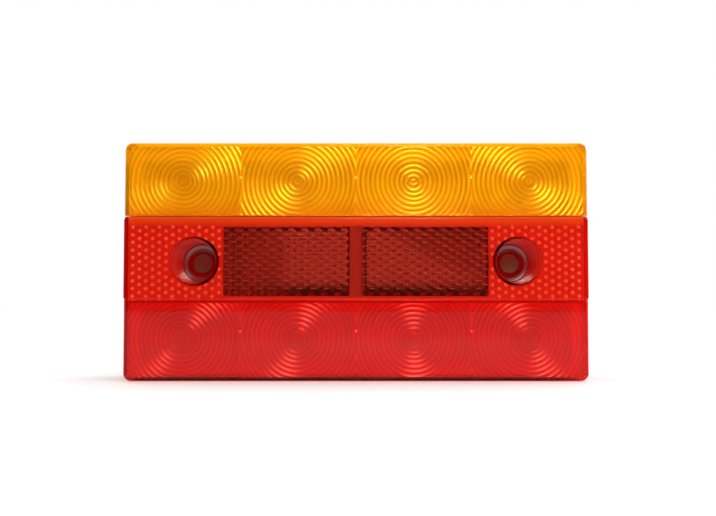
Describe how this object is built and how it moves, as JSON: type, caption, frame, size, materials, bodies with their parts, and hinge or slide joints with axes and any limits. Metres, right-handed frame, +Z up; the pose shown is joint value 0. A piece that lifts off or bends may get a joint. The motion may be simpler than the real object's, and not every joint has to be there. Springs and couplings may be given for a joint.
{
  "type": "trailer tail light",
  "caption": "Rectangular LED trailer tail light: amber strip over a red lens, ringed optics, reflex reflectors and recessed screw wells.",
  "frame": {"origin": "centre of the rear mounting face, midway between the two fixing screws", "axes": "+X to the lamp's right as seen from the front, +Y out of the rear mounting face, -Y out of the lens, +Z up towards the amber strip"},
  "size_m": [0.15, 0.026, 0.077],
  "materials": {
    "amber_lens": "transparent gloss",
    "red_lens": "transparent gloss",
    "reflex_prism": "cube-corner relief",
    "reflex_backing": "matte",
    "white_plastic": "satin",
    "board": "white solder mask",
    "led_epoxy": "clear epoxy",
    "component_body": "matte",
    "solder_brass": "tinned",
    "screw_steel": "zinc plated",
    "seal_rubber": "matte",
    "housing_plastic": "fine moulded texture"
  },
  "bodies": {
    "root": {"lens_amber": "amber_lens", "lens_red": "red_lens", "reflex_prism_left": "reflex_prism", "reflex_prism_right": "reflex_prism", "reflex_backing_left": "reflex_backing", "reflex_backing_right": "reflex_backing", "light_tray_amber": "white_plastic", "light_tray_red": "white_plastic", "led_board": "board", "led_amber_1": "led_epoxy", "led_amber_2": "led_epoxy", "led_amber_3": "led_epoxy", "led_amber_4": "led_epoxy", "led_red_1": "led_epoxy", "led_red_2": "led_epoxy", "led_red_3": "led_epoxy", "led_red_4": "led_epoxy", "driver_chip_amber": "component_body", "driver_chip_red": "component_body", "diode_amber": "component_body", "diode_red": "component_body", "capacitor": "component_body", "resistor_1": "component_body", "resistor_2": "component_body", "resistor_3": "component_body", "resistor_4": "component_body", "solder_pin_1": "solder_brass", "solder_pin_2": "solder_brass", "solder_pin_3": "solder_brass", "solder_pin_4": "solder_brass", "board_screw_1": "screw_steel", "board_screw_2": "screw_steel", "board_screw_3": "screw_steel", "board_screw_4": "screw_steel", "lens_seal": "seal_rubber", "well_seal_left": "seal_rubber", "well_seal_right": "seal_rubber", "cable_grommet": "seal_rubber", "base_housing": "housing_plastic"}
  },
  "joints": []
}
